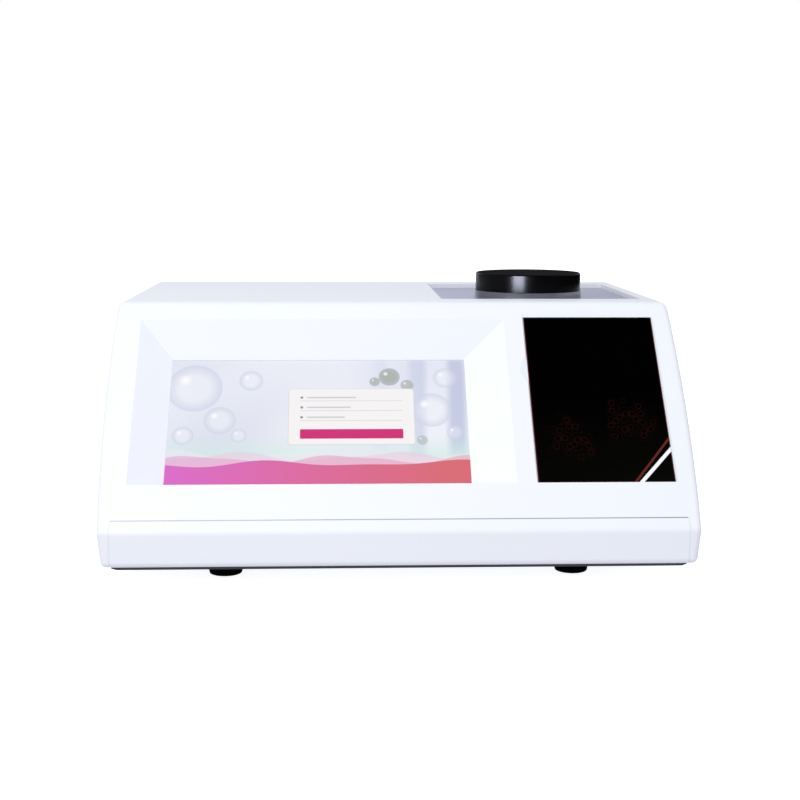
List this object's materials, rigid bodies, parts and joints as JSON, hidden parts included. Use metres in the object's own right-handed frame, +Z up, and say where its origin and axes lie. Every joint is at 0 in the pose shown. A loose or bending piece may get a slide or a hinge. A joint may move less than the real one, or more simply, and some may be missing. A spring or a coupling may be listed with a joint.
{
  "type": "benchtop refractometer",
  "caption": "Benchtop refractometer with a sloping touch screen, a steel sample stage under a lift-off black cap, a snap-in cover panel and connections at the back.",
  "frame": {"origin": "on the bench, under the middle of the instrument's footprint", "axes": "+X to the user's right along the width, +Y from the front to the back, +Z up"},
  "size_m": [0.434, 0.38, 0.2066],
  "materials": {
    "housing_shell": "satin",
    "base_steel": "satin",
    "foot_rubber": "matte",
    "screen_glass": "gloss",
    "seal_rubber": "matte",
    "sheet_steel": "satin",
    "cover_gloss": "gloss",
    "stage_steel": "satin",
    "well_steel": "polished",
    "prism_crystal": "polished",
    "cap_black": "satin",
    "liner_metal": "satin",
    "block_aluminium": "satin",
    "circuit_board": "satin",
    "cooler_ceramic": "matte",
    "rear_paint": "satin",
    "fan_plastic": "satin",
    "socket_plastic": "satin",
    "pin_metal": "satin",
    "rocker_gloss": "gloss",
    "port_metal": "satin",
    "contact_gold": "satin",
    "component_plastic": "satin"
  },
  "bodies": {
    "instrument": {"upper_housing": "housing_shell", "base_tray": "housing_shell", "base_plate": "base_steel", "feet": "foot_rubber", "touch_glass": "screen_glass", "display_gasket": "seal_rubber", "display_module": "sheet_steel", "display_bracket": "sheet_steel", "cover_panel": "cover_gloss", "stage_plate": "stage_steel", "sample_well": "well_steel", "measuring_prism": "prism_crystal", "optics_block": "block_aluminium", "light_board": "circuit_board", "sensor_board": "circuit_board", "thermal_modules": "cooler_ceramic", "heat_sink": "block_aluminium", "optics_chassis": "sheet_steel", "rear_panel": "rear_paint", "fan_frame": "fan_plastic", "mains_inlet": "socket_plastic", "inlet_pins": "pin_metal", "switch_frame": "socket_plastic", "usb_ports": "port_metal", "network_port": "port_metal", "serial_port": "port_metal", "serial_pins": "contact_gold", "interface_board": "circuit_board", "main_board": "circuit_board", "board_components": "component_plastic", "power_supply": "sheet_steel"},
    "cap": {"sample_cap": "cap_black", "cap_liner": "liner_metal"},
    "rotor": {"fan_rotor": "fan_plastic"},
    "rocker": {"switch_rocker": "rocker_gloss"}
  },
  "joints": [
    {"name": "cap_lift", "type": "slide", "parent": "instrument", "child": "cap", "axis": [0, 0, 1], "range_m": [0, 0.06]},
    {"name": "fan_spin", "type": "hinge", "parent": "instrument", "child": "rotor", "pos_m": [0.11, 0.17, 0.098], "axis": [0, 1, 0], "continuous": true},
    {"name": "switch_rock", "type": "hinge", "parent": "instrument", "child": "rocker", "pos_m": [-0.15, 0.182, 0.102], "axis": [1, 0, 0], "range_deg": [0, 16]}
  ]
}
